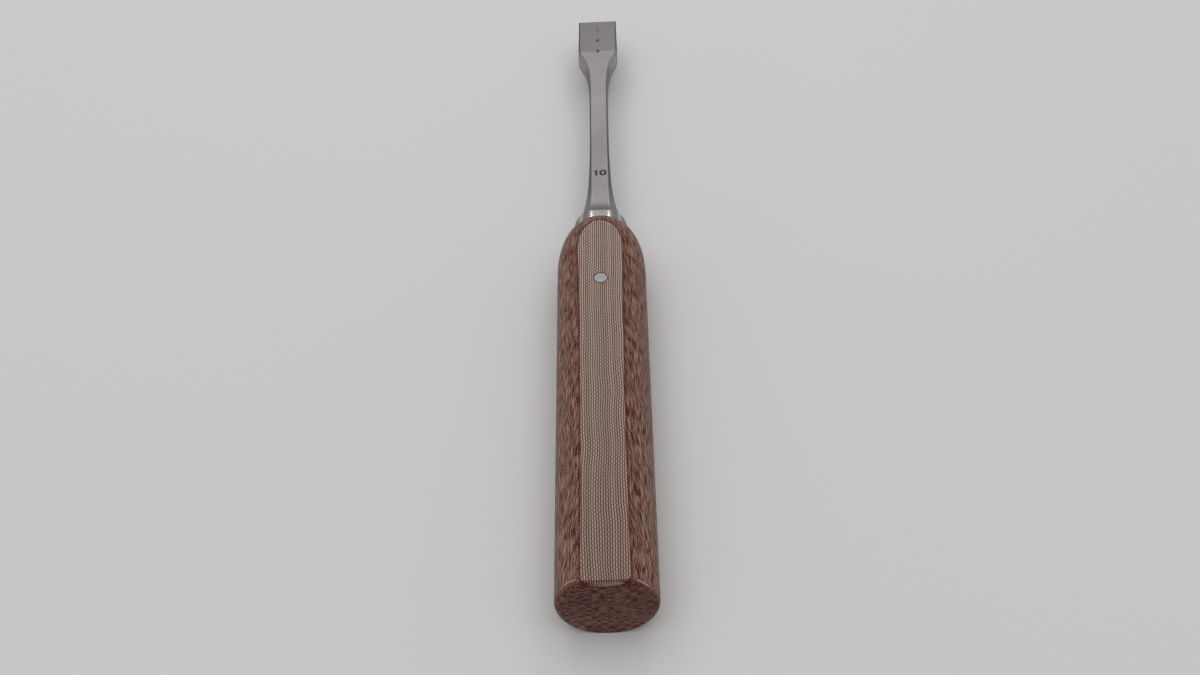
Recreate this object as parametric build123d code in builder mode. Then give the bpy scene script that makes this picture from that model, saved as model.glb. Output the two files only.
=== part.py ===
"""Bone osteotome, 10 mm blade, with a pinned handle of woven laminate.

It lies on the lower flat of its handle. Z is up, the cutting edge points to +Y,
and the origin is on the table under the middle of the whole length.
Stations along the blade are distances back from the cutting edge. All sizes are in millimetres.
"""

from build123d import *
from dataclasses import astuple, dataclass
import os

# Blade: the ground wedge and its depth marks
edge_width = 10.0
edge_land = 0.10
wedge_length = 14.2
heel_width = 10.2
heel_thickness = 2.3
long_edge_bevel = 0.30
first_mark = 4.4
mark_pitch = 5.0
mark_count = 3
mark_diameter = 0.9
mark_depth = 0.08

# Blade: shoulders, neck and shank
shoulder_start = 18.2
shoulder_width = 10.05
shoulder_flat = 6.0
shoulder_side = 0.9
shoulder_thickness = 2.6
flank_start = 20.6
flank_width = 8.85
flank_flat = 5.0
throat_start = 23.1
throat_width = 6.75
throat_flat = 4.5
neck_start = 28.5
neck_width = 5.1
shank_start = 36.0
shank_end = 50.0
shank_width = 4.65
shank_flat = 3.95
shank_thickness = 4.0
shank_side = 3.2
swell_start = 66.0
swell_width = 5.45
root_start = 74.2
root_width = 7.2
root_thickness = 4.2

# Blade: shares of the neighbouring sizes that shape the stations between them
flank_side_share = 1.2
throat_side_share = 0.55
neck_thickness_share = 0.93
neck_side_share = 0.85
root_flat_share = 1.04
root_side_share = 0.75
neck_end_flat_share = 1.3
neck_end_side_share = 0.45

# Bolster: the round collar that the handle's nose seats against
blade_reach = 80.3
bolster_length = 2.9
bolster_radius = 6.1
bolster_flat_height = 5.75
bolster_edge_round = 0.35
neck_end_width = 10.4
neck_end_thickness = 7.0

# How finely the curved stretches are divided
shoulder_steps = 22
root_steps = 16

# Tang inside the handle
tang_width = 5.0
tang_thickness = 3.0
tang_length = 62.0
tang_end_bevel = 0.8
tang_clearance = 0.10
tang_end_room = 1.0

# Handle
handle_length = 99.8
handle_radius = 10.0
nose_length = 12.9
nose_reach = 14.26
nose_fullness = 6.28
butt_round = 1.5
axis_height = 8.86
flats_at_nose = 17.40
flats_at_middle = 17.82
flats_at_butt = 17.72

# Cross pin
pin_diameter = 2.8
pin_clearance = 0.08
pin_setback = 22.2

# Places that follow from the sizes
overall_length = blade_reach + bolster_length + handle_length
tip_y = overall_length / 2
bolster_front_y = tip_y - blade_reach
seat_y = bolster_front_y - bolster_length
butt_y = seat_y - handle_length
pin_y = seat_y - pin_setback
tool_axis = Axis((0, 0, axis_height), (0, 1, 0))
axis_plane = Plane((0, 0, axis_height))
seat_plane = Plane(origin=(0, seat_y, axis_height), x_dir=(-1, 0, 0), z_dir=(0, 1, 0))


@dataclass
class Section:
    """One eight-sided cross-section of the blade, symmetric about its middle."""

    setback: float
    width: float
    flat: float
    thickness: float
    side: float


def outline(section):
    """The section's face, on a plane square to the tool's axis."""
    centre = (0, tip_y - section.setback, axis_height)
    plane = Plane(origin=centre, x_dir=(-1, 0, 0), z_dir=(0, 1, 0))
    half_width = section.width / 2
    half_flat = section.flat / 2
    half_thickness = section.thickness / 2
    half_side = section.side / 2
    with BuildSketch(plane) as face:
        with BuildLine():
            quarter = [(half_width, half_side), (half_flat, half_thickness)]
            upper = quarter + [(-x, z) for x, z in reversed(quarter)]
            Polyline(*upper, *[(-x, -z) for x, z in upper], close=True)
        make_face()
    return face.sketch


def section_at(stations, setback):
    """Section at any setback, on smooth curves through the stations that never swing past them.

    The slope at a station is the harmonic mean of the slopes on its two sides, or level where
    those differ in sign, and each stretch between two stations is a cubic with those end slopes.
    """
    places = [station.setback for station in stations]
    steps = [after - before for before, after in zip(places, places[1:])]
    index = max(i for i in range(len(steps)) if i == 0 or places[i] <= setback)
    u = (setback - places[index]) / steps[index]
    sizes = []
    for values in zip(*(astuple(station) for station in stations)):
        rises = [(after - before) / step for before, after, step in zip(values, values[1:], steps)]
        inner = [2 * p * q / (p + q) if p * q > 0 else 0 for p, q in zip(rises, rises[1:])]
        slopes = [rises[0], *inner, rises[-1]]
        start = values[index] * (1 + 2 * u) + slopes[index] * steps[index] * u
        end = values[index + 1] * (3 - 2 * u) - slopes[index + 1] * steps[index] * (1 - u)
        sizes.append(start * (1 - u) ** 2 + end * u**2)
    return Section(setback, *sizes[1:])


def spread(first, last, count):
    """Evenly spaced setbacks, both ends included."""
    return [first + (last - first) * i / count for i in range(count + 1)]


def thickness_at(setback):
    """Thickness of the straight wedge, and of its plane carried on past the heel."""
    return edge_land + (heel_thickness - edge_land) * setback / wedge_length


def dressed_flats():
    """Side outline between the plane lower flat and the slightly crowned upper flat."""
    with BuildSketch(Plane.YZ) as side:
        with BuildLine():
            nose_end = (seat_y, flats_at_nose)
            middle = ((seat_y + butt_y) / 2, flats_at_middle)
            butt_end = (butt_y, flats_at_butt)
            ThreePointArc(nose_end, middle, butt_end)
            Polyline(butt_end, (butt_y, 0), (seat_y, 0), nose_end)
        make_face()
    return side.sketch


edge = Section(0, edge_width, edge_width - edge_land, edge_land, edge_land / 2)
heel_flat = heel_width - 2 * long_edge_bevel
heel_side = heel_thickness - 2 * long_edge_bevel
heel = Section(wedge_length, heel_width, heel_flat, heel_thickness, heel_side)
shoulder = Section(shoulder_start, shoulder_width, shoulder_flat, shoulder_thickness, shoulder_side)
flank_thickness = (shoulder_thickness * 2 + shank_thickness) / 3
flank_side = shoulder_side * flank_side_share
flank = Section(flank_start, flank_width, flank_flat, flank_thickness, flank_side)
throat_thickness = (shoulder_thickness + shank_thickness) / 2
throat_side = shank_side * throat_side_share
throat = Section(throat_start, throat_width, throat_flat, throat_thickness, throat_side)
neck_thickness = shank_thickness * neck_thickness_share
neck_side = shank_side * neck_side_share
neck = Section(neck_start, neck_width, shank_flat, neck_thickness, neck_side)
shank_front = Section(shank_start, shank_width, shank_flat, shank_thickness, shank_side)
shank_back = Section(shank_end, shank_width, shank_flat, shank_thickness, shank_side)
swell = Section(swell_start, swell_width, shank_flat, shank_thickness, neck_side)
root_flat = shank_flat * root_flat_share
root_side = shank_side * root_side_share
root = Section(root_start, root_width, root_flat, root_thickness, root_side)
neck_end_flat = shank_flat * neck_end_flat_share
neck_end_side = neck_end_thickness * neck_end_side_share
neck_end = Section(blade_reach, neck_end_width, neck_end_flat, neck_end_thickness, neck_end_side)

stations = [heel, shoulder, flank, throat, neck, shank_front, shank_back, swell, root, neck_end]

# Blade, bolster and tang, forged and ground as one piece
with BuildPart() as blade:
    with BuildSketch(seat_plane):
        Circle(bolster_radius)
        Rectangle(2 * bolster_radius, 2 * bolster_flat_height, mode=Mode.INTERSECT)
    extrude(amount=bolster_length)
    fillet(blade.edges().group_by(Axis.Y)[-1], bolster_edge_round)

    with BuildSketch(seat_plane):
        Rectangle(tang_width, tang_thickness)
    extrude(amount=-tang_length)
    chamfer(blade.faces().sort_by(Axis.Y)[0].edges(), tang_end_bevel)

    shoulder_places = spread(wedge_length, shank_start, shoulder_steps)
    root_places = spread(shank_end, blade_reach, root_steps)
    sections = [edge] + [section_at(stations, place) for place in shoulder_places + root_places]
    loft([outline(section) for section in sections], ruled=True)

    for index in range(mark_count):
        setback = first_mark + index * mark_pitch
        mark_floor = axis_height + thickness_at(setback) / 2 - mark_depth
        with BuildSketch(Plane((0, tip_y - setback, mark_floor))):
            Circle(mark_diameter / 2)
        extrude(amount=heel_thickness, mode=Mode.SUBTRACT)

    with BuildSketch(Plane((0, pin_y, 0))):
        Circle(pin_diameter / 2 + pin_clearance)
    extrude(amount=2 * axis_height, mode=Mode.SUBTRACT)

# Handle, turned from laminate and dressed flat above and below
with BuildPart() as handle:
    with BuildSketch(axis_plane):
        with BuildLine():
            nose_start = (handle_radius, seat_y - nose_length)
            nose_centre = (handle_radius - nose_fullness, seat_y - nose_length)
            butt_corner = (handle_radius - butt_round, butt_y)
            side_start = (handle_radius, butt_y + butt_round)
            nose = EllipticalCenterArc(nose_centre, nose_fullness, nose_reach)
            Line(side_start, nose_start)
            RadiusArc(side_start, butt_corner, butt_round)
            Polyline(nose @ 1, (0, nose_centre[1] + nose_reach), (0, butt_y), butt_corner)
        make_face()
    revolve(axis=tool_axis)
    extrude(dressed_flats(), amount=2 * handle_radius, both=True, mode=Mode.INTERSECT)

    with BuildSketch(seat_plane):
        Rectangle(tang_width + 2 * tang_clearance, tang_thickness + 2 * tang_clearance)
    extrude(amount=-(tang_length + tang_end_room), mode=Mode.SUBTRACT)

    with BuildSketch(Plane((0, pin_y, 0))):
        Circle(pin_diameter / 2 + pin_clearance)
    extrude(amount=2 * handle_radius, mode=Mode.SUBTRACT)

# Cross pin, riveted in and dressed flush with both flats
with BuildPart() as handle_pin:
    with BuildSketch(Plane((0, pin_y, 0))):
        Circle(pin_diameter / 2)
    extrude(amount=2 * handle_radius)
    extrude(dressed_flats(), amount=2 * handle_radius, both=True, mode=Mode.INTERSECT)

blade.part.label = "blade"
handle.part.label = "handle"
handle_pin.part.label = "handle_pin"

os.makedirs("parts", exist_ok=True)
export_step(blade.part, "parts/blade.step")
export_step(handle.part, "parts/handle.step")
export_step(handle_pin.part, "parts/handle_pin.step")
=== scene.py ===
"""Dresses a small bone osteotome: satin steel blade, woven laminate handle and ground cross pin.

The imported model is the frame, in metres: +Y points to the cutting edge and +Z up from the table.
Sizes below are in millimetres until MM brings them to metres. Those of the floor and of the
lamps are in metres from the start. AXIS_Z is the height of the tool's axis, and a Span is where
a smooth step starts and where it ends.
"""

import logging
import math
from dataclasses import astuple, dataclass, field, replace
from enum import Enum

import bpy
import numpy as np
from mathutils import Matrix, Vector

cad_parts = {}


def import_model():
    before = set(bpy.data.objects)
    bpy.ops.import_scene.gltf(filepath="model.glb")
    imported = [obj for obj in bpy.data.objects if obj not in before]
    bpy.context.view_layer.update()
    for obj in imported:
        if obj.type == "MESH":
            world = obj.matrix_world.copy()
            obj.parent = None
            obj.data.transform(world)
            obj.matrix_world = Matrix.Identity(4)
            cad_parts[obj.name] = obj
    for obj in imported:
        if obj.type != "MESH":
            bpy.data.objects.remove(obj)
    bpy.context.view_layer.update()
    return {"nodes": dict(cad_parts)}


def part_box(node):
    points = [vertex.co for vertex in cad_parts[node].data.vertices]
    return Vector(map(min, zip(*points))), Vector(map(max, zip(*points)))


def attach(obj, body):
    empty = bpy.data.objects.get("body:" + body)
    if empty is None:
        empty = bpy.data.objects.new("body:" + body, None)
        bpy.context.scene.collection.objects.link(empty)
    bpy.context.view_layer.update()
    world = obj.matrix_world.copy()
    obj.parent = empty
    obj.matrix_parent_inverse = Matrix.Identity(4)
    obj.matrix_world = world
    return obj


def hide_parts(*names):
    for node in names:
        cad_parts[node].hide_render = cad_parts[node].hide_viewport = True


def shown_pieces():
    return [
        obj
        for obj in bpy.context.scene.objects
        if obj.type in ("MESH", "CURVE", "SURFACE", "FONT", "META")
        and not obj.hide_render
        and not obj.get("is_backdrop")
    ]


MM = 0.001
FRAME_WIDTH_PX = 1200
SENSOR_MM = 36.0
NEAR_CLIP_M = 0.01
SHARP_DEGREES = 50
AXIS_Z = 8.86
BEVEL = "bevel"

Colour = tuple[float, float, float]
Span = tuple[float, float]
log = logging.getLogger("osteotome")


class Carries(Enum):
    """What a socket of a shader node group carries."""

    PLACE = "NodeSocketVector"
    NUMBER = "NodeSocketFloat"


class Graph:
    """A short way to lay out nodes in one tree."""

    def __init__(self, tree: bpy.types.NodeTree) -> None:
        """Keep the tree that the nodes go into."""
        self.tree = tree

    def node(self, kind: str, **settings: object) -> bpy.types.Node:
        """Add a node.

        Args:
            kind: Blender's name of the node type.
            settings: properties of the node to set.

        Returns:
            The new node.
        """
        made = self.tree.nodes.new(kind)
        for name, value in settings.items():
            setattr(made, name, value)
        return made

    def feed(self, socket: bpy.types.NodeSocket, value: object) -> None:
        """Link an output to a socket, or set the socket to a plain value."""
        if isinstance(value, bpy.types.NodeSocket):
            self.tree.links.new(value, socket)
        else:
            socket.default_value = value

    def math(self, operation: str, *values: object, clamp: bool = False) -> bpy.types.NodeSocket:
        """One step of arithmetic on sockets or numbers, as an output socket."""
        step = self.node("ShaderNodeMath", operation=operation, use_clamp=clamp)
        for socket, value in zip(step.inputs, values):
            self.feed(socket, value)
        return step.outputs[0]

    def mix(self, share: object, low: object, high: object) -> bpy.types.NodeSocket:
        """Blend two colours, where a share of 1 is the second one."""
        blend = self.node("ShaderNodeMix", data_type="RGBA")
        self.feed(blend.inputs["Factor"], share)
        self.feed(blend.inputs["A"], low)
        self.feed(blend.inputs["B"], high)
        return blend.outputs["Result"]

    def ramp(self, value: object, start: float, end: float) -> bpy.types.NodeSocket:
        """A smooth step from 0 at start to 1 at end."""
        step = self.node("ShaderNodeMapRange", interpolation_type="SMOOTHSTEP")
        self.feed(step.inputs["Value"], value)
        step.inputs["From Min"].default_value = start
        step.inputs["From Max"].default_value = end
        return step.outputs["Result"]

    def noise(
        self, point: object, scale: float, detail: float = 2.0, colour: bool = False
    ) -> bpy.types.NodeSocket:
        """Smooth noise, as a value or as three values in a colour."""
        cloud = self.node("ShaderNodeTexNoise")
        self.feed(cloud.inputs["Vector"], point)
        cloud.inputs["Scale"].default_value = scale
        cloud.inputs["Detail"].default_value = detail
        return cloud.outputs["Color" if colour else "Fac"]

    def vector(self, operation: str, *values: object) -> bpy.types.NodeSocket:
        """One step of vector arithmetic, as an output socket."""
        step = self.node("ShaderNodeVectorMath", operation=operation)
        for socket, value in zip(step.inputs, values):
            self.feed(socket, value)
        return step.outputs[0]

    def scaled(self, colour: object, tone: object) -> bpy.types.NodeSocket:
        """A colour made lighter or darker by a factor."""
        product = self.node("ShaderNodeVectorMath", operation="SCALE")
        self.feed(product.inputs[0], colour)
        self.feed(product.inputs["Scale"], tone)
        return product.outputs[0]

    def faded(self, tone: object, share: object, factor: float) -> bpy.types.NodeSocket:
        """A tone multiplied by a factor where a mask is 1."""
        return self.math("MULTIPLY", tone, self.math("MULTIPLY_ADD", share, factor - 1.0, 1.0))

    def stirred(self, value: object, noise: object, strength: float) -> bpy.types.NodeSocket:
        """A value raised and lowered by noise about its middle of one half."""
        return self.math("MULTIPLY_ADD", self.math("SUBTRACT", noise, 0.5), strength, value)

    def product(self, first: object, *others: object) -> bpy.types.NodeSocket:
        """Several values multiplied."""
        for other in others:
            first = self.math("MULTIPLY", first, other)
        return first

    def length(self, x: object, y: object) -> bpy.types.NodeSocket:
        """Distance from the origin of a plane."""
        return self.math("SQRT", self.math("ADD", self.math("MULTIPLY", x, x), self.math("MULTIPLY", y, y)))

    def relief(self, shader: bpy.types.Node, height: object, depth: float) -> None:
        """Feed a bump of that depth in millimetres to a shader's normal."""
        bump = self.node("ShaderNodeBump")
        bump.inputs["Distance"].default_value = depth * MM
        self.feed(bump.inputs["Height"], height)
        self.feed(shader.inputs["Normal"], bump.outputs[0])

    def split(self, point: object) -> list[bpy.types.NodeSocket]:
        """The x, y and z of a vector."""
        parts = self.node("ShaderNodeSeparateXYZ")
        self.feed(parts.inputs[0], point)
        return list(parts.outputs)

    def join(self, *values: object) -> bpy.types.NodeSocket:
        """A vector from its x, y and z."""
        whole = self.node("ShaderNodeCombineXYZ")
        for socket, value in zip(whole.inputs, values):
            self.feed(socket, value)
        return whole.outputs[0]

    def group(self, tree: bpy.types.NodeTree, **values: object) -> bpy.types.Node:
        """Place a node group and feed its inputs, named with underscores for spaces."""
        placed = self.node("ShaderNodeGroup", node_tree=tree)
        for name, value in values.items():
            self.feed(placed.inputs[name.replace("_", " ")], value)
        return placed


def new_group(name: str, inputs: dict[str, float], outputs: tuple[str, ...]) -> tuple[Graph, dict, dict]:
    """Start a shader node group.

    Args:
        name: name of the group.
        inputs: its number inputs, with their values when nothing is linked.
        outputs: names of its number outputs.

    Returns:
        The graph, the sockets that carry the inputs (Point among them) and those that take the outputs.
    """
    tree = bpy.data.node_groups.new(name, "ShaderNodeTree")
    tree.interface.new_socket("Point", in_out="INPUT", socket_type=Carries.PLACE.value)
    for title, value in inputs.items():
        socket = tree.interface.new_socket(title, in_out="INPUT", socket_type=Carries.NUMBER.value)
        socket.default_value = value
    for title in outputs:
        tree.interface.new_socket(title, in_out="OUTPUT", socket_type=Carries.NUMBER.value)
    entry = tree.nodes.new("NodeGroupInput")
    ending = tree.nodes.new("NodeGroupOutput")
    carried = {socket.name: socket for socket in entry.outputs if socket.name}
    taken = {socket.name: socket for socket in ending.inputs if socket.name}
    return Graph(tree), carried, taken


def woven_plies_group() -> bpy.types.NodeTree:
    """Solid pattern of plain-woven cloth plies stacked in resin.

    The point is in millimetres, with its z counted in plies. In each ply a thread is a tube of
    elliptic section whose middle rises and falls as a sine of the way along it, over one cross
    thread and under the next, so any cut through the solid shows what such a cut shows.
    Outputs are masks of the two sets of threads and of the gaps between columns, and a random
    tone for each column.

    Returns:
        The group.
    """
    g, given, out = new_group(
        "woven plies",
        {"Pitch Across": 0.47, "Pitch Along": 0.50, "Rise": 0.45, "Half Height": 0.55, "Half Width": 0.31},
        ("Warp", "Weft", "Thread Tone", "Gap"),
    )
    ply_shift = 7.0
    thread_edge = (1.15, 0.75)
    gap_edge = (0.24, 0.46)
    x, y, plies = g.split(given["Point"])
    ply = g.math("FLOOR", plies)
    depth = g.math("MULTIPLY_ADD", g.math("SUBTRACT", plies, ply), 2.0, -1.0)
    chance = g.node("ShaderNodeTexWhiteNoise", noise_dimensions="1D")
    g.feed(chance.inputs["W"], ply)
    shift_x, shift_y, _ = g.split(chance.outputs["Color"])
    moved_x = g.math("MULTIPLY", shift_x, ply_shift)
    moved_y = g.math("MULTIPLY", shift_y, ply_shift)
    across = g.math("ADD", g.math("DIVIDE", x, given["Pitch Across"]), moved_x)
    along = g.math("ADD", g.math("DIVIDE", y, given["Pitch Along"]), moved_y)
    columns, rows = g.math("FLOOR", across), g.math("FLOOR", along)

    def thread(place: object, number: object, way: object, sign: float) -> bpy.types.NodeSocket:
        """Mask of one set of threads: inside the ellipse about a middle that rises and falls."""
        turn = g.math("COSINE", g.math("MULTIPLY", number, math.pi))
        swing = g.math("MULTIPLY", g.math("SINE", g.math("MULTIPLY", way, math.pi)), turn)
        middle = g.math("MULTIPLY", g.math("MULTIPLY", swing, given["Rise"]), sign)
        from_middle = g.math("SUBTRACT", g.math("SUBTRACT", place, number), 0.5)
        aside = g.math("DIVIDE", from_middle, given["Half Width"])
        above = g.math("DIVIDE", g.math("SUBTRACT", depth, middle), given["Half Height"])
        reach = g.math("ADD", g.math("MULTIPLY", aside, aside), g.math("MULTIPLY", above, above))
        return g.ramp(reach, *thread_edge)

    g.feed(out["Warp"], thread(across, columns, along, 1.0))
    g.feed(out["Weft"], thread(along, rows, across, -1.0))
    fibre = g.node("ShaderNodeTexWhiteNoise", noise_dimensions="3D")
    g.feed(fibre.inputs["Vector"], g.join(columns, 0.0, ply))
    g.feed(out["Thread Tone"], fibre.outputs["Value"])
    from_middle = g.math("ABSOLUTE", g.math("SUBTRACT", g.math("FRACT", across), 0.5))
    g.feed(out["Gap"], g.ramp(from_middle, *gap_edge))
    return g.tree


def ground_steel_group() -> bpy.types.NodeTree:
    """Fine grinding lines: noise drawn out along one direction, over slow clouds.

    Returns:
        The group, whose outputs are Lines and Clouds, both about 0 to 1.
    """
    g, given, out = new_group(
        "ground steel",
        {"Across": 9.0, "Along": 0.5},
        ("Lines", "Clouds"),
    )
    line_detail = 3.0
    cloud_scale = 0.16
    x, y, z = g.split(given["Point"])
    drawn = g.join(
        g.math("MULTIPLY", x, given["Across"]),
        g.math("MULTIPLY", y, given["Along"]),
        g.math("MULTIPLY", z, given["Across"]),
    )
    g.feed(out["Lines"], g.noise(drawn, 1.0, line_detail))
    g.feed(out["Clouds"], g.noise(given["Point"], cloud_scale))
    return g.tree


@dataclass(frozen=True)
class Groups:
    """The shader effects that the finishes share."""

    weave: bpy.types.NodeTree
    grinding: bpy.types.NodeTree


def start_material(name: str) -> tuple[bpy.types.Material, Graph, bpy.types.Node, bpy.types.NodeSocket]:
    """A new material, its graph, its Principled node and the object point in millimetres."""
    material = bpy.data.materials.new(name)
    material.use_nodes = True
    graph = Graph(material.node_tree)
    shader = material.node_tree.nodes["Principled BSDF"]
    place = graph.node("ShaderNodeTexCoord")
    return material, graph, shader, graph.scaled(place.outputs["Object"], 1 / MM)


@dataclass(frozen=True)
class FlatsLevel:
    """Heights of the crowned upper flat over the lower one, in millimetres."""

    seat_y: float
    butt_y: float
    at_nose: float = 17.40
    at_middle: float = 17.82
    at_butt: float = 17.72

    def height_socket(self, g: Graph, y: bpy.types.NodeSocket) -> bpy.types.NodeSocket:
        """The parabola a y^2 + b y + c through the three heights, as a socket."""
        places = [self.seat_y, (self.seat_y + self.butt_y) / 2, self.butt_y]
        a, b, c = np.polyfit(places, [self.at_nose, self.at_middle, self.at_butt], 2).tolist()
        return g.math("MULTIPLY_ADD", g.math("MULTIPLY_ADD", y, a, b), y, c)


@dataclass(frozen=True)
class PlyGrain:
    """Grain of the round sides and the butt, where they cut across the plies.

    The main scale and the scales of speckle, patches and sway are those of the noise, per
    millimetre. Along and across are shares of the main scale, and outward is how far the
    streaks turn round the handle in each millimetre along it.
    """

    scale: float = 4.6
    along_sides: float = 0.07
    outward: float = 0.16
    along_butt: float = 0.15
    across_butt: float = 0.85
    side_offset: float = 5.0
    sway: float = 2.6
    sway_scale: float = 0.13
    speckle_scale: float = 4.4
    patch_scale: float = 0.3
    ground: float = 0.29
    grain_strength: float = 6.6
    speckle_strength: float = 1.6
    patch_strength: float = 0.7
    thread_strength: float = 0.34

    def light(
        self, g: Graph, point: object, end: object, threads: object, radius: float
    ) -> bpy.types.NodeSocket:
        """How pale the cut edges of the plies are.

        On the sides wavy streaks run slightly outwards to the butt, and on the butt they run
        level along the plies. Speckle, slow patches and the threads break both up.

        Args:
            g: the material's graph.
            point: the place in millimetres.
            end: 1 on the butt.
            threads: how strongly the threads show.
            radius: the handle's.

        Returns:
            A share from 0, dark, to 1, pale.
        """
        x, y, z = g.split(point)
        turn = g.math("ABSOLUTE", g.math("ARCTAN2", x, g.math("SUBTRACT", z, AXIS_Z)))
        round_way = g.math("MULTIPLY_ADD", turn, radius, g.math("MULTIPLY", y, self.outward))
        sway = g.math("MULTIPLY", g.noise(point, self.sway_scale, detail=1.0), self.sway)
        which_side = g.math("MULTIPLY", g.math("SIGN", x), self.side_offset)
        along = g.math("MULTIPLY", y, self.along_sides)
        on_sides = g.join(g.math("ADD", round_way, sway), along, which_side)
        up_butt = g.math("MULTIPLY_ADD", z, self.across_butt, sway)
        on_butt = g.join(g.math("MULTIPLY", x, self.along_butt), 0.0, up_butt)
        grain = g.noise(g.mix(end, on_sides, on_butt), self.scale, detail=1.0)
        speckle = g.noise(point, self.speckle_scale, detail=0.0)
        patches = g.noise(point, self.patch_scale, detail=1.0)
        light = g.stirred(self.ground, grain, self.grain_strength)
        light = g.stirred(light, speckle, self.speckle_strength)
        light = g.stirred(light, patches, self.patch_strength)
        return g.math("MULTIPLY_ADD", threads, self.thread_strength, light, clamp=True)


@dataclass(frozen=True)
class FlatBands:
    """Faint warm and cool bands askew across the front of the flats, closer towards the butt."""

    start_y: float = -10.0
    per_mm: float = 0.43
    per_mm_growth: float = 0.0076
    slant: float = -0.15
    fading: Span = (42.0, 20.0)
    strength: float = 0.13

    def tint(self, g: Graph, x: object, y: object) -> bpy.types.NodeSocket:
        """Factors for red, green and blue."""
        back = g.math("SUBTRACT", self.start_y, y)
        turns = g.math("MULTIPLY", back, g.math("MULTIPLY_ADD", back, self.per_mm_growth, self.per_mm))
        turns = g.math("ADD", turns, g.math("MULTIPLY", x, self.slant))
        wave = g.math("SINE", g.math("MULTIPLY", turns, 2 * math.pi))
        swing = g.product(wave, g.ramp(back, *self.fading))
        warm = g.math("MULTIPLY_ADD", swing, self.strength, 1.0)
        cool = g.math("MULTIPLY_ADD", swing, -self.strength, 1.0)
        return g.join(warm, 1.0, cool)


@dataclass(frozen=True)
class ButtRim:
    """Colours of the butt and of its rounded rim, where the upper flat turns over.

    The cloth of the flat stops at a dark line, and below it shows again as a crescent with a
    sagging lower edge, with painted shadow under it. A pale arc of painted highlight lies on each
    side of it, where light would catch the rounded rim. Back is measured forward from the
    butt, aside from the middle plane and height from the crescent's lower edge.
    """

    tint: Colour = (0.64, 0.46, 0.46)
    low_tint: Colour = (0.80, 0.70, 0.74)
    low_z: Span = (11.0, 3.0)
    crescent_z: float = 16.7
    crescent_curve: float = 0.0506
    crescent_height: Span = (0.0, 0.1)
    crescent_paler: float = 0.5
    crescent_paler_z: Span = (17.7, 17.4)
    cloth_back: Span = (1.6, 1.5)
    cloth_aside: Span = (4.66, 4.5)
    cloth_z: Span = (15.6, 16.2)
    shadow_height: Span = (-0.9, -0.3)
    shadow_aside: Span = (4.9, 4.3)
    shadow_strength: float = 0.6
    line_front: Span = (0.85, 0.65)
    line_rear: Span = (0.1, 0.35)
    line_strength: float = 0.7
    corner_back: Span = (0.6, 0.4)
    corner_aside: Span = (3.6, 4.2)
    # The arc fields place a painted highlight: a thin pale line on the rounded rim.
    arc_highlight_colour: Colour = (0.50, 0.40, 0.36)
    arc_back: float = 1.2
    arc_slant: float = 0.035
    arc_width: Span = (0.17, 0.07)
    arc_inner: Span = (5.2, 6.0)
    arc_outer: Span = (8.3, 7.5)
    arc_z: Span = (10.0, 11.0)
    arc_highlight_strength: float = 0.65

    def dress(
        self, g: Graph, place: tuple, back: object, end: object, colours: tuple, border: Colour
    ) -> bpy.types.NodeSocket:
        """Lay the butt's colours, painted shadow and painted highlight over those of the handle.

        Args:
            g: the material's graph.
            place: x, y and z in millimetres.
            back: distance forward from the butt.
            end: 1 on the butt.
            colours: colour of the whole handle, and of the cloth on a flat.
            border: colour of the dark parts.

        Returns:
            The colour with the butt's own.
        """
        x, _, z = place
        colour, flat = colours
        aside = g.math("ABSOLUTE", x)
        tint = g.mix(g.ramp(z, *self.low_z), (*self.tint, 1), (*self.low_tint, 1))
        colour = g.mix(end, colour, g.vector("MULTIPLY", colour, tint))
        sagging = g.math("MULTIPLY", g.math("MULTIPLY", x, x), self.crescent_curve)
        height = g.math("SUBTRACT", g.math("SUBTRACT", z, self.crescent_z), sagging)
        shadow = g.product(g.ramp(height, *self.shadow_height), end, g.ramp(aside, *self.shadow_aside))
        colour = g.mix(g.math("MULTIPLY", shadow, self.shadow_strength), colour, (*border, 1))
        on_rim = g.product(
            g.ramp(back, *self.cloth_back), g.ramp(aside, *self.cloth_aside), g.ramp(z, *self.cloth_z)
        )
        paler = g.math("MULTIPLY_ADD", g.ramp(z, *self.crescent_paler_z), self.crescent_paler, 1.0)
        crescent = g.product(on_rim, g.ramp(height, *self.crescent_height))
        colour = g.mix(crescent, colour, g.scaled(flat, paler))
        line = g.product(on_rim, g.ramp(back, *self.line_front), g.ramp(back, *self.line_rear))
        colour = g.mix(g.math("MULTIPLY", line, self.line_strength), colour, (*border, 1))
        corner = g.product(on_rim, g.ramp(back, *self.corner_back), g.ramp(aside, *self.corner_aside))
        colour = g.mix(corner, colour, (*border, 1))
        # Painted highlight: a thin pale arc on each upper side of the rim.
        from_arc = g.math("ADD", g.math("MULTIPLY_ADD", x, self.arc_slant, -self.arc_back), back)
        arc = g.product(
            g.ramp(g.math("ABSOLUTE", from_arc), *self.arc_width),
            g.ramp(aside, *self.arc_inner),
            g.ramp(aside, *self.arc_outer),
            g.ramp(z, *self.arc_z),
        )
        return g.mix(g.math("MULTIPLY", arc, self.arc_highlight_strength), colour, (*self.arc_highlight_colour, 1))


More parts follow.
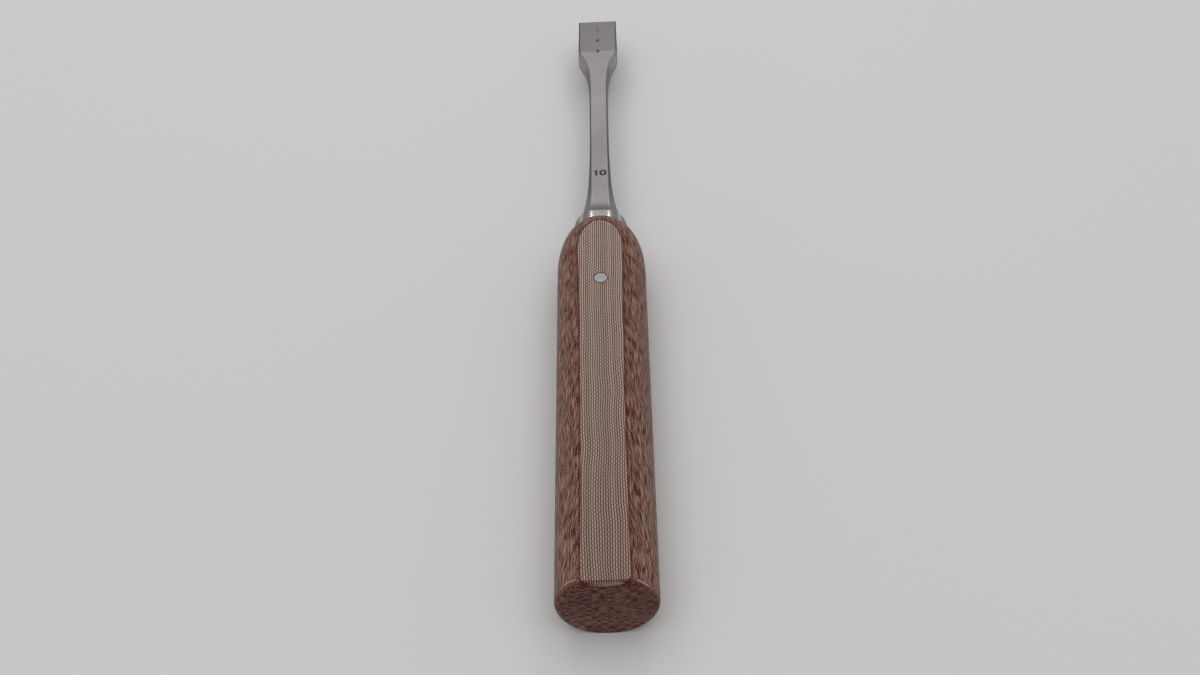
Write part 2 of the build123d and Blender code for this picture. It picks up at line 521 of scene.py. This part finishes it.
@dataclass(frozen=True)
class LaminateFinish:
    """Woven cloth plies in red-brown resin, cut, sanded and sealed.

    The flats cut the plies at a shallow angle and show pale cloth, the round sides show the
    redder edges of the plies as wavy grain, and the butt is the dark end grain. Depth is
    measured in from the nearer flat.
    """

    resin: Colour = (0.030, 0.010, 0.007)
    flat_warp: Colour = (0.480, 0.356, 0.302)
    flat_weft: Colour = (0.325, 0.227, 0.186)
    flat_red_level: float = 1.03
    flat_red_rise: float = 0.0027
    flat_level: float = 1.04
    flat_rise: float = 0.0036
    flat_depth: Span = (0.04, 0.0)
    gap_tone: float = 0.45
    thread_tone: float = 0.26
    side_weft: float = -0.5
    side_dark: Colour = (0.066, 0.012, 0.008)
    side_light: Colour = (0.345, 0.205, 0.152)
    border: Colour = (0.075, 0.014, 0.009)
    border_start: Span = (0.0, 0.03)
    border_depth: Span = (0.5, 0.1)
    border_strength: float = 0.75
    redder_depth: Span = (2.4, 0.2)
    redder_strength: float = 0.26
    end_back: Span = (1.25, 0.35)
    ply_count: float = 48.0
    first_cut: float = 0.66
    drift_scale: float = 0.09
    wander: float = 3.4
    wander_scale: float = 0.11
    wander_depth: Span = (0.01, 0.6)
    # A ring of painted shade in the laminate round the pin, where the gap round it lies in shadow.
    pin_gap_shade_reach: Span = (1.78, 1.53)
    pin_gap_shade_tone: float = 0.28
    roughness: float = 0.5
    specular_level: float = 0.15
    coat: float = 0.04
    coat_roughness: float = 0.2
    relief: float = 0.04
    grain: PlyGrain = PlyGrain()
    bands: FlatBands = FlatBands()
    rim: ButtRim = ButtRim()

    def build(self, groups: Groups, handle: "Handle") -> bpy.types.Material:
        """Make the material.

        Args:
            groups: the shared shader groups.
            handle: the handle that it dresses, for its flats, radius, butt and pin.

        Returns:
            The material.
        """
        material, g, shader, point = start_material("handle laminate")
        x, y, z = g.split(point)
        top = handle.flats.height_socket(g, y)
        depth = g.math("MINIMUM", z, g.math("SUBTRACT", top, z))
        back = g.math("SUBTRACT", y, handle.butt_y)
        end = g.ramp(back, *self.end_back)
        weave = g.group(groups.weave, Point=self._cloth(g, point, g.math("DIVIDE", z, top), depth))
        warp, weft = weave.outputs["Warp"], weave.outputs["Weft"]
        threads = g.math("MAXIMUM", warp, weft)
        flat = self._flat(g, (x, y), weave)
        showing = g.math("MULTIPLY_ADD", weft, self.side_weft, threads)
        light = self.grain.light(g, point, end, showing, handle.radius)
        side = g.mix(light, (*self.side_dark, 1), (*self.side_light, 1))
        border = g.product(g.ramp(depth, *self.border_start), g.ramp(depth, *self.border_depth))
        redder = g.math("MULTIPLY", g.ramp(depth, *self.redder_depth), self.redder_strength)
        share = g.math("MAXIMUM", g.math("MULTIPLY", border, self.border_strength), redder)
        side = g.mix(share, side, (*self.border, 1))
        colour = g.mix(g.ramp(depth, *self.flat_depth), side, flat)
        colour = self.rim.dress(g, (x, y, z), back, end, (colour, flat), self.border)
        tone = g.stirred(1.0, weave.outputs["Thread Tone"], self.thread_tone)
        # Painted shade: a dark ring round the pin's hole.
        reach = g.length(x, g.math("SUBTRACT", y, handle.pin_y))
        tone = g.faded(tone, g.ramp(reach, *self.pin_gap_shade_reach), self.pin_gap_shade_tone)
        g.feed(shader.inputs["Base Color"], g.scaled(colour, tone))
        shader.inputs["Roughness"].default_value = self.roughness
        shader.inputs["Specular IOR Level"].default_value = self.specular_level
        shader.inputs["Coat Weight"].default_value = self.coat
        shader.inputs["Coat Roughness"].default_value = self.coat_roughness
        g.relief(shader, threads, self.relief)
        return material

    def _flat(self, g: Graph, place: tuple, weave: bpy.types.Node) -> bpy.types.NodeSocket:
        """Cloth on the flats: threads over resin, banded, and redder and darker to the butt."""
        x, y = place
        flat = g.mix(weave.outputs["Weft"], (*self.resin, 1), (*self.flat_weft, 1))
        flat = g.mix(weave.outputs["Warp"], flat, (*self.flat_warp, 1))
        flat = g.vector("MULTIPLY", flat, self.bands.tint(g, x, y))
        red = g.math("MULTIPLY_ADD", y, self.flat_red_rise, self.flat_red_level)
        others = g.math("MULTIPLY_ADD", y, self.flat_rise, self.flat_level)
        flat = g.vector("MULTIPLY", flat, g.join(red, others, others))
        return g.scaled(flat, g.faded(1.0, weave.outputs["Gap"], self.gap_tone))

    def _cloth(self, g: Graph, point: object, level: object, depth: object) -> bpy.types.NodeSocket:
        """Place in the cloth: drifting a little in the plies, which wander between the flats."""
        x, y, _ = g.split(point)
        cloud = g.noise(point, self.drift_scale, detail=1.0, colour=True)
        drift_x, drift_y, _ = g.split(g.vector("SUBTRACT", cloud, (0.5, 0.5, 0.5)))
        wander = g.stirred(0.0, g.noise(point, self.wander_scale), self.wander)
        swing = g.math("MULTIPLY", wander, g.ramp(depth, *self.wander_depth))
        plies = g.math("ADD", g.math("MULTIPLY_ADD", level, self.ply_count, self.first_cut), swing)
        return g.join(g.math("ADD", x, drift_x), g.math("ADD", y, drift_y), plies)


@dataclass(frozen=True)
class SteelFinish:
    """Satin instrument steel with fine grinding lines."""

    name: str
    colour: Colour
    roughness: float
    lines_across: float = 9.0
    lines_along: float = 0.5
    relief: float = 0.02
    line_tone: float = 0.10
    cloud_tone: float = 0.20
    line_roughness: float = 0.10
    edge_tint: Colour = (0.55, 0.55, 0.55)

    def build(self, groups: Groups) -> bpy.types.Material:
        """Make the material from the shared grinding group."""
        material, g, shader, point = start_material(self.name)
        ground = g.group(groups.grinding, Point=point, Across=self.lines_across, Along=self.lines_along)
        lines, clouds = ground.outputs["Lines"], ground.outputs["Clouds"]
        zone_tone, zone_roughness, zone_relief = self.zones(g, point)
        lined = g.stirred(1.0, lines, self.line_tone)
        tone = g.product(lined, g.stirred(1.0, clouds, self.cloud_tone), zone_tone)
        g.feed(shader.inputs["Base Color"], g.scaled(self.colour, tone))
        shader.inputs["Metallic"].default_value = 1.0
        shader.inputs["Specular Tint"].default_value = (*self.edge_tint, 1)
        spread = g.stirred(self.roughness, lines, self.line_roughness)
        g.feed(shader.inputs["Roughness"], g.math("ADD", spread, zone_roughness))
        g.relief(shader, g.math("MULTIPLY", lines, zone_relief), self.relief)
        return material

    def zones(self, g: Graph, point: object) -> tuple[object, object, object]:
        """Tone, added roughness and share of the relief, which are the same all over plain steel."""
        return 1.0, 0.0, 1.0


@dataclass(frozen=True)
class BladeFinish(SteelFinish):
    """Blade steel whose wedge, shank, collar and depth marks differ in tone.

    Setbacks are from the cutting edge, but the wedge's end and the heel line are placed from the
    heel, and the collar from its own start. Side and rim are distances from the middle plane.
    Apart from the dark depth marks, these tones are painted light: the wedge's darker tone is partly
    its grinding and partly painted shade; its side edges, the heel line, the shank, its bevels and
    the collar's rim carry painted shade; the root, its bevels, the collar and its sides carry painted
    highlight.
    """

    tip_y: float = 91.5
    wedge_length: float = 14.2
    collar_start: float = 80.3
    # Wedge tone: partly its grinding, partly painted shade; the wedge's side edges and heel line get
    # painted shade.
    wedge_end: Span = (0.1, -0.1)
    wedge_tone: float = 0.86
    wedge_side: Span = (4.53, 4.73)
    wedge_side_tone: float = 0.62
    heel_line: Span = (0.3, 0.05)
    heel_line_tone: float = 0.84
    # Painted shade on the shank's bevels, painted highlight on the root's bevels.
    shank_bevel: Span = (66.0, 56.0)
    shank_bevel_tone: float = 0.92
    root_bevel: Span = (66.0, 74.0)
    root_bevel_tone: float = 1.35
    # Painted shade along the middle of the shank, painted highlight on the root.
    shank_shade: Span = (22.0, 56.0)
    shank_shade_tone: float = 0.68
    root: Span = (68.0, 79.0)
    root_tone: float = 1.15
    # Painted highlight on the collar and its sides, painted shade at its rim.
    collar: Span = (-0.03, 0.02)
    collar_tone: float = 1.42
    collar_side: Span = (2.8, 4.4)
    collar_side_tone: float = 1.62
    collar_rim: Span = (4.2, 5.2)
    collar_rim_tone: float = 0.50
    collar_smoother: float = -0.12
    first_mark: float = 4.2
    mark_pitch: float = 5.1
    mark_tones: tuple[float, ...] = (0.72, 0.38, 0.38)
    mark_radius: float = 0.66
    mark_core: float = 0.35
    mark_stretch: float = 0.62

    def zones(self, g: Graph, point: object) -> tuple[object, object, object]:
        """Tone, added roughness and relief: painted shade on the wedge and shank, painted highlight on the
        root and collar, smooth collar, dark marks.
        """
        x, y, _ = g.split(point)
        setback = g.math("SUBTRACT", self.tip_y, y)
        aside = g.math("ABSOLUTE", x)
        bevel = g.node("ShaderNodeAttribute", attribute_name=BEVEL).outputs["Fac"]
        from_heel = g.math("SUBTRACT", setback, self.wedge_length)
        wedge = g.ramp(from_heel, *self.wedge_end)
        collar = g.ramp(g.math("SUBTRACT", setback, self.collar_start), *self.collar)
        root_bevel = g.product(g.math("MINIMUM", bevel, 1.0), g.ramp(setback, *self.root_bevel))
        # Painted shade and painted highlight, zone by zone; only the marks added below are the steel's own
        # colour.
        toned = [
            (wedge, self.wedge_tone),
            (g.product(wedge, g.ramp(aside, *self.wedge_side)), self.wedge_side_tone),
            (g.ramp(g.math("ABSOLUTE", from_heel), *self.heel_line), self.heel_line_tone),
            (g.product(bevel, g.ramp(setback, *self.shank_bevel)), self.shank_bevel_tone),
            (root_bevel, self.root_bevel_tone),
            (g.ramp(setback, *self.shank_shade), self.shank_shade_tone),
            (g.ramp(setback, *self.root), self.root_tone),
            (collar, self.collar_tone),
            (g.product(collar, g.ramp(aside, *self.collar_side)), self.collar_side_tone),
            (g.product(collar, g.ramp(aside, *self.collar_rim)), self.collar_rim_tone),
        ]
        for index, mark_tone in enumerate(self.mark_tones):
            place = self.first_mark + index * self.mark_pitch
            ahead = g.math("MULTIPLY", g.math("SUBTRACT", setback, place), self.mark_stretch)
            spot = g.ramp(g.length(x, ahead), self.mark_radius, self.mark_radius * self.mark_core)
            toned.append((spot, mark_tone))
        tone = 1.0
        for share, factor in toned:
            tone = g.faded(tone, share, factor)
        return tone, g.math("MULTIPLY", collar, self.collar_smoother), g.math("SUBTRACT", 1.0, collar)


@dataclass(frozen=True)
class InkFinish:
    """Dark matt laser marking."""

    colour: Colour = (0.022, 0.020, 0.020)
    roughness: float = 0.6

    def build(self) -> bpy.types.Material:
        """Make the material."""
        material, _, shader, _ = start_material("laser marking")
        shader.inputs["Base Color"].default_value = (*self.colour, 1)
        shader.inputs["Roughness"].default_value = self.roughness
        return material


@dataclass
class Shell:
    """Closed surfaces gathered into one mesh, in millimetres."""

    points: list[np.ndarray] = field(default_factory=list)
    bevels: list[np.ndarray] = field(default_factory=list)
    faces: list[list[int]] = field(default_factory=list)
    count: int = 0

    def add_rings(self, rings: np.ndarray, bevel: np.ndarray | float = 0.0, looped: bool = False) -> None:
        """Add a surface through rings of points.

        Args:
            rings: points as (rings, points in a ring, 3).
            bevel: how strongly each point takes the bevels' tone, where a plain bevel is 1.
            looped: True if the last ring joins the first, otherwise both ends are capped.
        """
        ring_count, around = rings.shape[:2]
        numbers = self.count + np.arange(ring_count * around).reshape(ring_count, around)
        if looped:
            numbers = np.vstack([numbers, numbers[:1]])
        else:
            self.faces += [numbers[0, ::-1].tolist(), numbers[-1].tolist()]
        beside = np.roll(numbers, -1, axis=1)
        quads = np.stack([numbers[:-1], beside[:-1], beside[1:], numbers[1:]], axis=-1)
        self.faces += quads.reshape(-1, 4).tolist()
        self.points.append(rings.reshape(-1, 3))
        self.bevels.append(np.broadcast_to(bevel, rings.shape[:2]).ravel())
        self.count += ring_count * around

    def build(self, name: str, material: bpy.types.Material, slot: str) -> bpy.types.Object:
        """Make the piece and let it ride on the tool.

        Args:
            name: name of the piece.
            material: its finish.
            slot: the record's material slot that it belongs to; not used.

        Returns:
            The new piece.
        """
        mesh = bpy.data.meshes.new(name)
        mesh.from_pydata((np.concatenate(self.points) * MM).tolist(), [], self.faces)
        bevel = mesh.attributes.new(BEVEL, "FLOAT", "POINT")
        bevel.data.foreach_set("value", np.concatenate(self.bevels))
        mesh.shade_smooth()
        mesh.set_sharp_from_angle(angle=math.radians(SHARP_DEGREES))
        mesh.materials.append(material)
        piece = bpy.data.objects.new(name, mesh)
        bpy.context.scene.collection.objects.link(piece)
        even = piece.modifiers.new("even shading", "WEIGHTED_NORMAL")
        even.keep_sharp = True
        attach(piece, "root")
        return piece


@dataclass(frozen=True)
class Section:
    """One eight-sided section of the blade, by its distance back from the cutting edge."""

    setback: float
    width: float
    flat: float
    thickness: float
    side: float


@dataclass
class Blade:
    """Ground wedge, waisted shank, round collar and tang, forged in one.

    Its surfaces are parametric. Each ring of the shank is the eight-sided section at its setback,
    with every corner replaced by a short parabola, and the sizes of the section follow smooth
    cubics along the setback. Each ring of the collar is a circle cut by two flats, where the
    reach at an angle is a high-power mean of the circle's and the flats', so the edges are soft.
    The corners between a flat and a bevel take the bevels' painted tone by the rim's share, which draws a
    line of painted shade along the shank.
    """

    tip_y: float
    edge: Section = Section(0.0, 10.0, 9.9, 0.10, 0.05)
    stations: tuple[Section, ...] = (
        Section(14.2, 10.2, 9.6, 2.3, 1.7),
        Section(18.2, 10.05, 6.3, 2.65, 0.9),
        Section(20.6, 8.85, 5.3, 2.87, 1.08),
        Section(23.1, 6.75, 4.6, 3.08, 1.76),
        Section(28.5, 5.1, 3.95, 3.5, 2.72),
        Section(36.0, 4.65, 3.95, 4.0, 3.2),
        Section(50.0, 4.65, 3.95, 4.0, 3.2),
        Section(66.0, 5.45, 3.95, 4.0, 2.72),
        Section(74.2, 7.2, 4.108, 4.2, 2.4),
        Section(80.3, 10.4, 5.135, 7.0, 3.15),
    )
    ring_spacing: float = 0.5
    corner_soften: float = 0.16
    corner_limit: float = 0.45
    rim_share: float = 3.2
    corner_points: int = 5
    collar_radius: float = 6.1
    collar_flat: float = 5.75
    collar_length: float = 2.9
    collar_edge: float = 0.35
    collar_edge_points: int = 8
    collar_power: float = 44.0
    collar_points: int = 256
    least_sine: float = 1e-3
    tang_size: tuple[float, float, float] = (5.0, 62.0, 3.0)
    finish: BladeFinish = BladeFinish("blade steel", (0.455, 0.430, 0.424), 0.36)

    def build(self, groups: Groups) -> bpy.types.Object:
        """Make and dress the blade, in place of the CAD's."""
        shell = Shell()
        # The bevel value carries painted tone; the corners, at the rim's share, get a line of painted
        # shade.
        on_bevel = np.ones(self.corner_points)
        off_bevel = np.append(self.rim_share * on_bevel[1:], 0.0)
        quarters = [on_bevel, off_bevel, off_bevel[::-1], on_bevel]
        shell.add_rings(self._shank_rings(), bevel=np.concatenate(quarters * 2))
        shell.add_rings(self._collar_rings())
        shell.add_rings(self._tang_rings())
        finish = replace(
            self.finish,
            tip_y=self.tip_y,
            wedge_length=self.stations[0].setback,
            collar_start=self.stations[-1].setback,
        )
        piece = shell.build("blade_steel", finish.build(groups), "instrument_steel")
        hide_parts("blade")
        return piece

    def _sizes(self, setbacks: np.ndarray) -> np.ndarray:
        """Width, flat, thickness and side at each setback.

        Between stations each size is a cubic whose slope at a station is the harmonic mean of the
        slopes on its two sides, or level where those differ in sign, so it never swings past.

        Args:
            setbacks: distances from the edge, none of them in front of the first station.

        Returns:
            The four sizes as an array of (setbacks, 4).
        """
        table = np.array([astuple(section) for section in self.stations])
        places, sizes = table[:, 0], table[:, 1:]
        steps = np.diff(places)[:, None]
        rises = np.diff(sizes, axis=0) / steps
        product = rises[:-1] * rises[1:]
        total = np.where(product > 0, rises[:-1] + rises[1:], 1.0)
        inner = np.where(product > 0, 2 * product / total, 0.0)
        slopes = np.vstack([rises[:1], inner, rises[-1:]])
        index = np.clip(np.searchsorted(places, setbacks, side="right") - 1, 0, len(steps) - 1)
        u = ((setbacks - places[index]) / steps[index, 0])[:, None]
        start = sizes[index] * (1 + 2 * u) + slopes[index] * steps[index] * u
        end = sizes[index + 1] * (3 - 2 * u) - slopes[index + 1] * steps[index] * (1 - u)
        return start * (1 - u) ** 2 + end * u**2

    def _shank_rings(self) -> np.ndarray:
        """Rings from the cutting edge to the collar, with softened corners."""
        heel, last = self.stations[0], self.stations[-1]
        count = round((last.setback - heel.setback) / self.ring_spacing)
        curved = np.linspace(heel.setback, last.setback, count + 1)
        setbacks = np.concatenate([[self.edge.setback], curved])
        sizes = np.vstack([astuple(self.edge)[1:], self._sizes(curved)]) / 2
        wide, flat, thick, side = sizes.T
        x = np.stack([wide, flat, -flat, -wide, -wide, -flat, flat, wide], axis=1)
        z = np.stack([side, thick, thick, side, -side, -thick, -thick, -side], axis=1)
        corner = np.stack([x, z], axis=-1)
        to_last = np.roll(corner, 1, axis=1) - corner
        to_next = np.roll(corner, -1, axis=1) - corner
        t = np.linspace(0, 1, self.corner_points)[:, None]
        rings = corner[:, :, None] + self._leg(to_last)[:, :, None] * (1 - t) ** 2
        rings = rings + self._leg(to_next)[:, :, None] * t**2
        rings = rings.reshape(len(setbacks), -1, 2)
        y = np.broadcast_to((self.tip_y - setbacks)[:, None], rings.shape[:2])
        return np.stack([rings[..., 0], y, rings[..., 1] + AXIS_Z], axis=-1)

    def _leg(self, side: np.ndarray) -> np.ndarray:
        """The stretch along each side that a softened corner takes, at most the limit's share."""
        length = np.linalg.norm(side, axis=-1, keepdims=True)
        return side / length * np.minimum(self.corner_soften, self.corner_limit * length)

    def _collar_rings(self) -> np.ndarray:
        """Rings of the collar: a quarter round at its front edge, then straight to the seat."""
        turn = np.linspace(0, math.pi / 2, self.collar_edge_points)
        inset = np.append(self.collar_edge * (1 - np.sin(turn)), 0.0)
        behind = np.append(self.collar_edge * (1 - np.cos(turn)), self.collar_length)
        angle = np.linspace(0, 2 * math.pi, self.collar_points, endpoint=False)
        round_reach = (self.collar_radius - inset)[:, None]
        sine = np.maximum(np.abs(np.sin(angle)), self.least_sine)
        flat_reach = (self.collar_flat - inset)[:, None] / sine
        power = self.collar_power
        reach = (round_reach**-power + flat_reach**-power) ** (-1 / power)
        y = self.tip_y - self.stations[-1].setback - behind
        y = np.broadcast_to(y[:, None], reach.shape)
        return np.stack([reach * np.cos(angle), y, reach * np.sin(angle) + AXIS_Z], axis=-1)

    def _tang_rings(self) -> np.ndarray:
        """Two rectangles, at the seat and at the tang's end inside the handle."""
        width, length, thickness = self.tang_size
        x = np.array([1, -1, -1, 1]) * width / 2
        z = np.array([1, 1, -1, -1]) * thickness / 2 + AXIS_Z
        seat_y = self.tip_y - self.stations[-1].setback - self.collar_length
        return np.stack([np.stack([x, np.full(4, y), z], axis=-1) for y in (seat_y, seat_y - length)])


@dataclass
class SizeMark:
    """The blade width, 10, marked on the shank's upper flat to read from the butt.

    The nought is a looped tube whose inner and outer edges are superellipses
    |x/a|^n + |y/b|^n = 1, thinner at top and bottom. The one is a flat prism, and its flag's
    places are shares of half the height, or of half the stroke for the start.
    """

    centre: tuple[float, float] = (0.12, 27.96)
    surface_z: float = 10.86
    height: float = 2.0
    stroke: float = 0.57
    one_centre: float = -0.94
    one_flag: float = 0.34
    flag_inner: float = 0.42
    flag_lower: float = 0.30
    flag_upper: float = 0.62
    flag_start: float = 0.2
    nought_centre: float = 0.66
    nought_width: float = 1.72
    nought_power: float = 2.6
    nought_points: int = 64
    nought_thinning: float = 0.8
    proud: float = 0.012
    sunk: float = 0.03
    finish: InkFinish = InkFinish()

    def build(self) -> bpy.types.Object:
        """Make and dress both digits as one piece."""
        shell = Shell()
        shell.add_rings(self._one())
        shell.add_rings(self._nought(), looped=True)
        return shell.build("size_mark", self.finish.build(), "instrument_steel")

    def _placed(self, x: np.ndarray, y: np.ndarray, rise: np.ndarray) -> np.ndarray:
        """Points of a digit, from its own middle to the shank."""
        return np.stack([x + self.centre[0], y + self.centre[1], self.surface_z + rise], axis=-1)

    def _one(self) -> np.ndarray:
        """Upper and lower outline of the one, an upright with a slanted flag."""
        half = self.stroke / 2
        top = self.height / 2
        tip = -half - self.one_flag
        x = np.array([half, half, -half, -half, tip, tip, -half * self.flag_start])
        y = np.array([1, -1, -1, self.flag_inner, self.flag_lower, self.flag_upper, 1]) * top
        rise = np.array([-self.sunk, self.proud])[:, None]
        x = np.broadcast_to(x[::-1] + self.one_centre, (2, x.size))
        y = np.broadcast_to(y[::-1], x.shape)
        return self._placed(x, y, np.broadcast_to(rise, x.shape))

    def _nought(self) -> np.ndarray:
        """Rings of the nought, each the four corners of the stroke's section."""
        angle = np.linspace(0, 2 * math.pi, self.nought_points, endpoint=False)[:, None]
        inset = np.array([0.0, 0.0, self.stroke, self.stroke])
        rise = [self.proud, -self.sunk, -self.sunk, self.proud]
        power = 2 / self.nought_power
        along_x = np.sign(np.cos(angle)) * np.abs(np.cos(angle)) ** power
        along_y = np.sign(np.sin(angle)) * np.abs(np.sin(angle)) ** power
        x = self.nought_centre + (self.nought_width / 2 - inset) * along_x
        y = (self.height / 2 - inset * self.nought_thinning) * along_y
        return self._placed(x, y, np.broadcast_to(rise, x.shape))


@dataclass
class Handle:
    """Turned laminate handle, dressed flat above and below; its form is the CAD's."""

    seat_y: float
    butt_y: float
    radius: float
    pin_setback: float = 22.2
    finish: LaminateFinish = LaminateFinish()

    @property
    def flats(self) -> FlatsLevel:
        """Heights of the upper flat."""
        return FlatsLevel(self.seat_y, self.butt_y)

    @property
    def pin_y(self) -> float:
        """Place of the cross pin along the handle."""
        return self.seat_y - self.pin_setback

    def build(self, node: bpy.types.Object, groups: Groups) -> None:
        """Dress the CAD's handle."""
        node.material_slots[0].material = self.finish.build(groups, self)


@dataclass
class CrossPin:
    """Steel pin, ground flush with both flats; its form is the CAD's."""

    finish: SteelFinish = SteelFinish(
        "pin steel", (0.345, 0.330, 0.325), 0.5, lines_across=2.2, lines_along=2.2, relief=0.03
    )

    def build(self, node: bpy.types.Object, groups: Groups) -> None:
        """Dress the CAD's pin."""
        node.material_slots[0].material = self.finish.build(groups)


@dataclass(frozen=True)
class SoftBox:
    """A square lamp that faces the tool, with its place and size in metres."""

    name: str
    place: tuple[float, float, float]
    size: float
    watts: float

    def build(self) -> bpy.types.Object:
        """Put the lamp in the scene, turned to the origin."""
        data = bpy.data.lights.new(self.name, "AREA")
        data.shape = "SQUARE"
        data.size = self.size
        data.energy = self.watts
        lamp = bpy.data.objects.new(self.name, data)
        bpy.context.scene.collection.objects.link(lamp)
        lamp.location = self.place
        lamp.rotation_euler = (-Vector(self.place)).to_track_quat("-Z", "Y").to_euler()
        return lamp


@dataclass
class Studio:
    """Pale floor, tent light and the camera at the photograph's angle.

    The tent's brightness grows from the horizon to the zenith over a span of rises, which are
    sines of the height above the horizon.
    """

    floor_colour: Colour = (0.625, 0.622, 0.622)
    floor_half_side: float = 2.5
    floor_roughness: float = 0.9
    floor_specular: float = 0.1
    horizon: float = 0.20
    zenith: float = 0.66
    rises: Span = (0.1, 0.75)
    boxes: tuple[SoftBox, ...] = (
        SoftBox("overhead", (0.0, 0.03, 0.70), 0.95, 2.36),
        SoftBox("left streak", (-0.145, 0.421, 0.401), 0.06, 0.12),
        SoftBox("right streak", (0.145, 0.421, 0.401), 0.06, 0.12),
        SoftBox("left rim", (-0.55, 0.10, 0.14), 0.08, 0.13),
        SoftBox("right rim", (0.55, 0.10, 0.14), 0.08, 0.05),
    )
    focal_px: float = 1422.9
    pitch: float = math.radians(48.2)
    yaw: float = math.radians(-2.03)
    roll: float = math.radians(-3.60)
    camera_mm: tuple[float, float, float] = (6.74, -230.56, 240.49)

    def build(self) -> None:
        """Make the floor, the lamps, the world and the camera."""
        self._floor()
        for box in self.boxes:
            box.build()
        self._world()
        self._camera()

    def _floor(self) -> None:
        """A square of plain pale board under the tool."""
        half = self.floor_half_side
        mesh = bpy.data.meshes.new("floor")
        corners = [(-half, -half, 0), (half, -half, 0), (half, half, 0), (-half, half, 0)]
        mesh.from_pydata(corners, [], [(0, 1, 2, 3)])
        floor = bpy.data.objects.new("floor", mesh)
        bpy.context.scene.collection.objects.link(floor)
        material, _, shader, _ = start_material("floor board")
        shader.inputs["Base Color"].default_value = (*self.floor_colour, 1)
        shader.inputs["Roughness"].default_value = self.floor_roughness
        shader.inputs["Specular IOR Level"].default_value = self.floor_specular
        mesh.materials.append(material)
        floor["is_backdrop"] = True

    def _world(self) -> None:
        """Grey light that grows from the horizon to the zenith."""
        world = bpy.data.worlds.new("tent")
        bpy.context.scene.world = world
        world.use_nodes = True
        g = Graph(world.node_tree)
        background = world.node_tree.nodes["Background"]
        background.inputs["Color"].default_value = (1, 1, 1, 1)
        _, _, rise = g.split(g.node("ShaderNodeTexCoord").outputs["Generated"])
        share = g.ramp(rise, *self.rises)
        strength = g.math("MULTIPLY_ADD", share, self.zenith - self.horizon, self.horizon)
        g.feed(background.inputs["Strength"], strength)

    def _camera(self) -> None:
        """Camera with the lens and pose that put the tool where the photograph has it."""
        data = bpy.data.cameras.new("camera")
        data.sensor_width = SENSOR_MM
        data.lens = self.focal_px * SENSOR_MM / FRAME_WIDTH_PX
        data.clip_start = NEAR_CLIP_M
        forward = Vector(
            (
                math.sin(self.yaw) * math.cos(self.pitch),
                math.cos(self.yaw) * math.cos(self.pitch),
                -math.sin(self.pitch),
            )
        )
        level = forward.cross(Vector((0, 0, 1))).normalized()
        upright = level.cross(forward)
        right = math.cos(self.roll) * level + math.sin(self.roll) * upright
        up = -math.sin(self.roll) * level + math.cos(self.roll) * upright
        turn = Matrix((right, up, -forward)).transposed()
        camera = bpy.data.objects.new("camera", data)
        bpy.context.scene.collection.objects.link(camera)
        camera.matrix_world = Matrix.Translation(Vector(self.camera_mm) * MM) @ turn.to_4x4()
        bpy.context.scene.camera = camera


def main() -> None:
    """Build the studio, dress the tool's pieces and report them."""
    logging.basicConfig(level=logging.INFO, format="%(name)s: %(message)s")
    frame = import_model()
    bpy.context.scene.view_settings.view_transform = "Standard"
    groups = Groups(woven_plies_group(), ground_steel_group())
    Studio().build()
    handle_low, handle_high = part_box("handle")
    _, blade_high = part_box("blade")
    nodes = frame["nodes"]
    Blade(tip_y=blade_high[1] / MM).build(groups)
    SizeMark().build()
    handle = Handle(seat_y=handle_high[1] / MM, butt_y=handle_low[1] / MM, radius=handle_high[0] / MM)
    handle.build(nodes["handle"], groups)
    CrossPin().build(nodes["handle_pin"], groups)
    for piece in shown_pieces():
        log.info("piece %s", piece.name)


if __name__ == "__main__":
    main()
